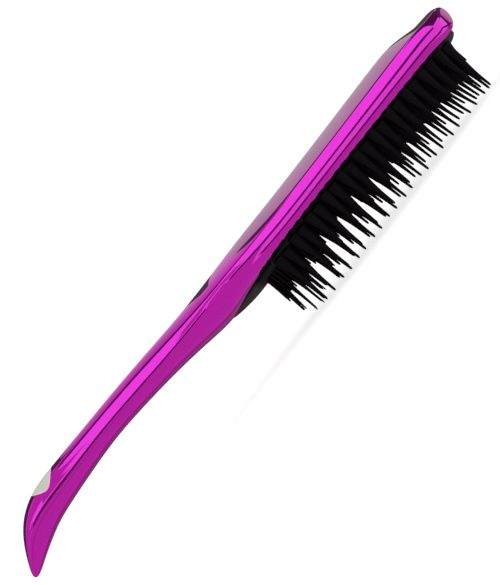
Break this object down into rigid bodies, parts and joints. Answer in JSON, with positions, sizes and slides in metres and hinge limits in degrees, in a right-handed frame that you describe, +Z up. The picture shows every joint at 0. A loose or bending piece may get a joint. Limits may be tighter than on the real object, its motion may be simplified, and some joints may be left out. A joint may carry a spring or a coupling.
{
  "type": "hair brush",
  "caption": "Detangling and grooming hair brush: a slim curved grip with a pointed tail flows into an oval head, whose crowned pad carries rows of long tapered bristles.",
  "frame": {"origin": "centre of the brush's outline seen from above, at the level of the tips of the middle row of bristles", "axes": "+X towards the head's round end, -X towards the pointed tail, +Z up through the back, bristles pointing along -Z"},
  "size_m": [0.2348, 0.047, 0.0402],
  "materials": {
    "shell": "metallised magenta, mirror gloss",
    "cover": "metallised magenta, mirror gloss",
    "badge": "pale grey-green, blank",
    "plate": "plain moulded",
    "screws": "plain",
    "pad": "black, satin",
    "bristles": "black nylon, satin"
  },
  "bodies": {
    "root": {"back_shell": "shell", "grip_cover": "cover", "badge_disc": "badge", "backing_plate": "plate", "plate_screw_1": "screws", "plate_screw_2": "screws", "plate_screw_3": "screws", "plate_screw_4": "screws", "tail_screw": "screws", "bristle_pad": "pad", "bristle_slice_01": "bristles", "bristle_slice_02": "bristles", "bristle_slice_03": "bristles", "bristle_slice_04": "bristles", "bristle_slice_05": "bristles", "bristle_slice_06": "bristles", "bristle_slice_07": "bristles", "bristle_slice_08": "bristles", "bristle_slice_09": "bristles", "bristle_slice_10": "bristles", "bristle_slice_11": "bristles", "bristle_slice_12": "bristles"}
  },
  "joints": []
}
